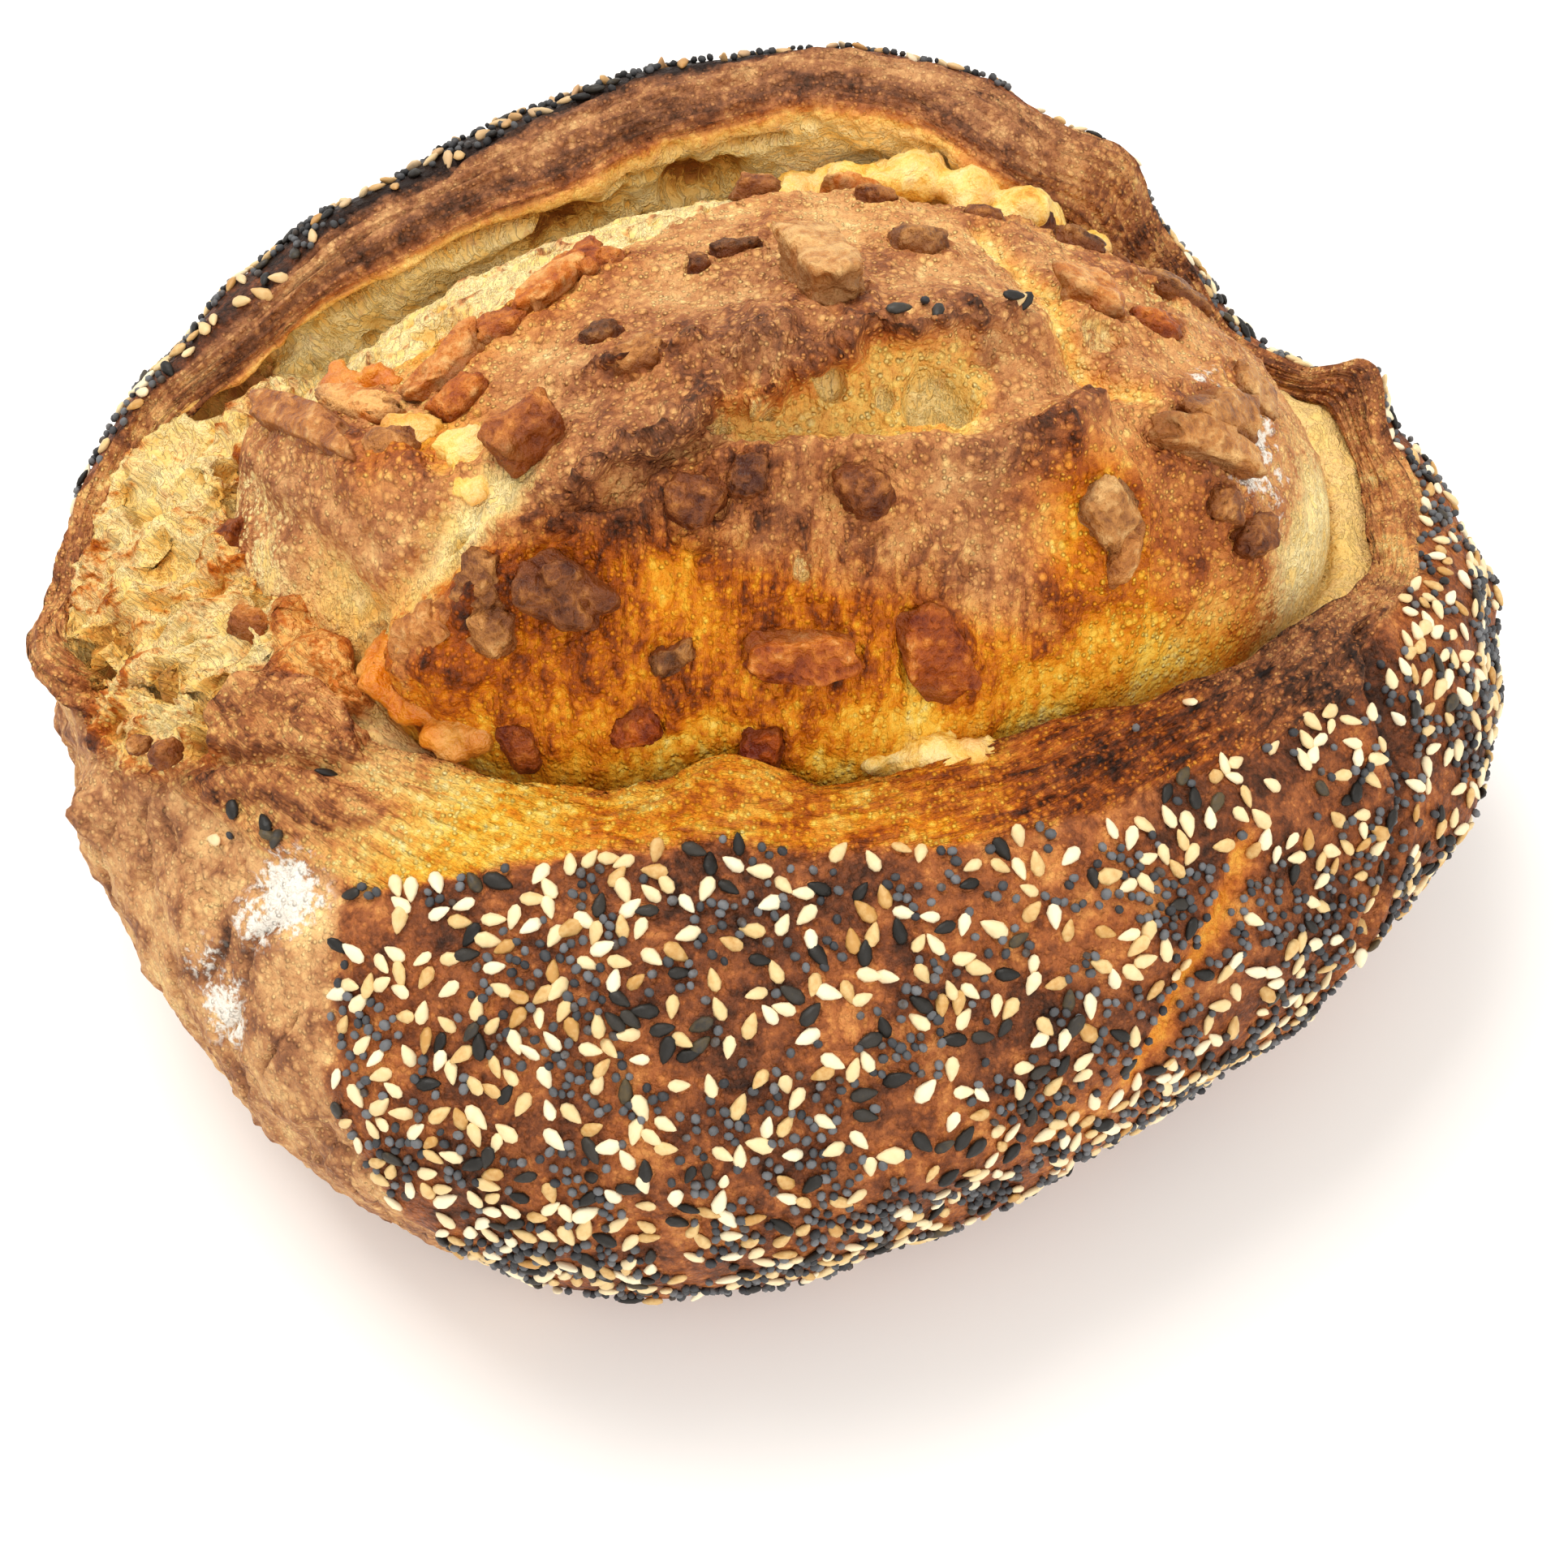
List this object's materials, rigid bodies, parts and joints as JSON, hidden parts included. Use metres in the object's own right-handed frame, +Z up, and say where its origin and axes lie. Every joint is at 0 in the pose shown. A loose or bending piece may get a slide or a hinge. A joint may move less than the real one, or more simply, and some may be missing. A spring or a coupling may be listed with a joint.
{
  "type": "sourdough loaf",
  "caption": "Round seeded sourdough loaf with cheese and sausage, burst open along its score so that the crumb domes up between the crust lips",
  "frame": {"origin": "middle of the flat underside, where the loaf rests, under the middle of its overall length and width", "axes": "+X along the loaf's length, from the torn open end at -X to the closed end at +X; +Y from the long low lip at the front to the tall raised ear at the back; +Z up, out of the burst crumb"},
  "size_m": [0.2146, 0.1897, 0.106],
  "materials": {
    "crust": "baked",
    "sausage": "satin",
    "cheese": "satin"
  },
  "bodies": {
    "root": {"loaf": "crust", "block_back": "sausage", "block_left": "sausage", "strip_left": "sausage", "strip_back": "sausage", "strip_leaf": "sausage", "lump_ridge": "sausage", "block_front": "sausage", "chunk_front": "sausage", "chunk_right": "sausage", "strip_right": "sausage", "strip_rim": "sausage", "lump_tip": "sausage", "cheese_back": "cheese", "cheese_left": "cheese", "cheese_lump": "cheese", "cheese_front_left": "cheese", "cheese_front": "cheese"}
  },
  "joints": []
}
